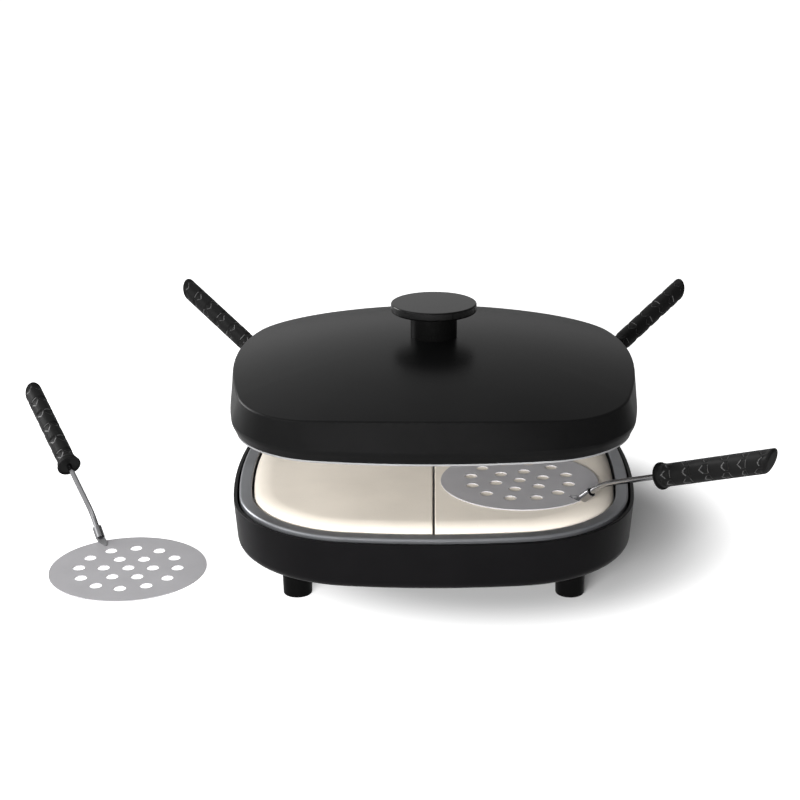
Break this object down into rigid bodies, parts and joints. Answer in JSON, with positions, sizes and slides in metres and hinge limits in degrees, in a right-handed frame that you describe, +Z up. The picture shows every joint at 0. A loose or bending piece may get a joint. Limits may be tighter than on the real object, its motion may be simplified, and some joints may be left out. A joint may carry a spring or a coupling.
{
  "type": "electric pizza maker",
  "caption": "Countertop cooker with a square base, split baking stone, domed hinged lid with a knob, and perforated round spatulas with black handles.",
  "frame": {"origin": "centre of the base's footprint, on the surface that the feet stand on", "axes": "+Z up, +X to the right seen from the front, +Y to the back where the lid is hinged"},
  "size_m": [0.6129, 0.4543, 0.2042],
  "materials": {
    "lid_paint": "satin black heat-proof paint",
    "base_plastic": "satin black moulded plastic",
    "black_plastic": "smooth black moulded plastic",
    "knob_plastic": "polished black moulded plastic",
    "grip_plastic": "matt black grip with shallow relief",
    "tray_metal": "smooth grey non-stick coating",
    "liner_metal": "bright aluminised sheet",
    "shield_metal": "bright aluminised sheet",
    "stone": "fine cream fired clay",
    "blade_steel": "brushed stainless steel",
    "rod_steel": "polished steel wire",
    "element_metal": "dark oxidised steel sheath",
    "bracket_paint": "satin black powder coat",
    "screw_steel": "zinc plated steel",
    "cover_steel": "dark grey coated sheet",
    "thermostat_metal": "plain stamped metal",
    "terminal_ceramic": "white steatite",
    "gland_rubber": "black rubber"
  },
  "bodies": {
    "base": {"base_housing": "base_plastic", "bottom_cover": "cover_steel", "foot_front_left": "black_plastic", "foot_front_right": "black_plastic", "foot_rear_left": "black_plastic", "foot_rear_right": "black_plastic", "foot_screws": "screw_steel", "cover_screws": "screw_steel", "tray_screws": "screw_steel", "tray": "tray_metal", "tray_standoffs": "screw_steel", "heat_shield": "shield_metal", "lower_element": "element_metal", "lower_element_clips": "shield_metal", "thermostat": "thermostat_metal", "terminal_block": "terminal_ceramic", "cord_gland": "gland_rubber", "switch_frame": "black_plastic", "hinge_bracket_left": "bracket_paint", "hinge_bracket_right": "bracket_paint", "hinge_bracket_screws": "screw_steel", "hinge_pin_left": "screw_steel", "hinge_pin_right": "screw_steel"},
    "lid": {"lid_shell": "lid_paint", "lid_liner": "liner_metal", "lid_posts": "screw_steel", "liner_screws": "screw_steel", "knob_cap": "knob_plastic", "knob_neck": "knob_plastic", "knob_screw": "screw_steel", "upper_element": "element_metal", "upper_element_clips": "shield_metal", "hinge_arm_left": "bracket_paint", "hinge_arm_right": "bracket_paint", "hinge_arm_screws": "screw_steel"},
    "rocker": {"switch_rocker": "black_plastic"},
    "stone_left": {"stone_left": "stone"},
    "stone_right": {"stone_right": "stone"},
    "spatula_front_right": {"blade_front_right": "blade_steel", "socket_front_right": "blade_steel", "rod_front_right": "rod_steel", "handle_front_right": "grip_plastic"},
    "spatula_rear_right": {"blade_rear_right": "blade_steel", "socket_rear_right": "blade_steel", "rod_rear_right": "rod_steel", "handle_rear_right": "grip_plastic"},
    "spatula_rear_left": {"blade_rear_left": "blade_steel", "socket_rear_left": "blade_steel", "rod_rear_left": "rod_steel", "handle_rear_left": "grip_plastic"},
    "spatula_loose": {"blade_loose": "blade_steel", "socket_loose": "blade_steel", "rod_loose": "rod_steel", "handle_loose": "grip_plastic"}
  },
  "joints": [
    {"name": "lid_hinge", "type": "hinge", "parent": "base", "child": "lid", "pos_m": [0, 0.1725, 0.124], "axis": [-1, 0, 0], "range_deg": [0, 90]},
    {"name": "power_switch", "type": "hinge", "parent": "base", "child": "rocker", "pos_m": [-0.018, 0.1633, 0.044], "axis": [-1, 0, 0], "range_deg": [0, 16]},
    {"name": "stone_left_lift", "type": "slide", "parent": "base", "child": "stone_left", "axis": [0, 0, 1], "range_m": [0, 0.014]},
    {"name": "stone_right_lift", "type": "slide", "parent": "base", "child": "stone_right", "axis": [0, 0, 1], "range_m": [0, 0.014]},
    {"name": "spatula_front_right_pull", "type": "slide", "parent": "stone_right", "child": "spatula_front_right", "axis": [0.7314, -0.682, 0], "range_m": [0, 0.17]},
    {"name": "spatula_rear_right_pull", "type": "slide", "parent": "stone_right", "child": "spatula_rear_right", "axis": [0.7361, 0.6769, 0], "range_m": [0, 0.17]},
    {"name": "spatula_rear_left_pull", "type": "slide", "parent": "stone_left", "child": "spatula_rear_left", "axis": [-0.7361, 0.6769, 0], "range_m": [0, 0.17]},
    {"name": "spatula_loose_lift", "type": "slide", "parent": "base", "child": "spatula_loose", "axis": [0, 0, 1], "range_m": [0, 0.1]}
  ]
}
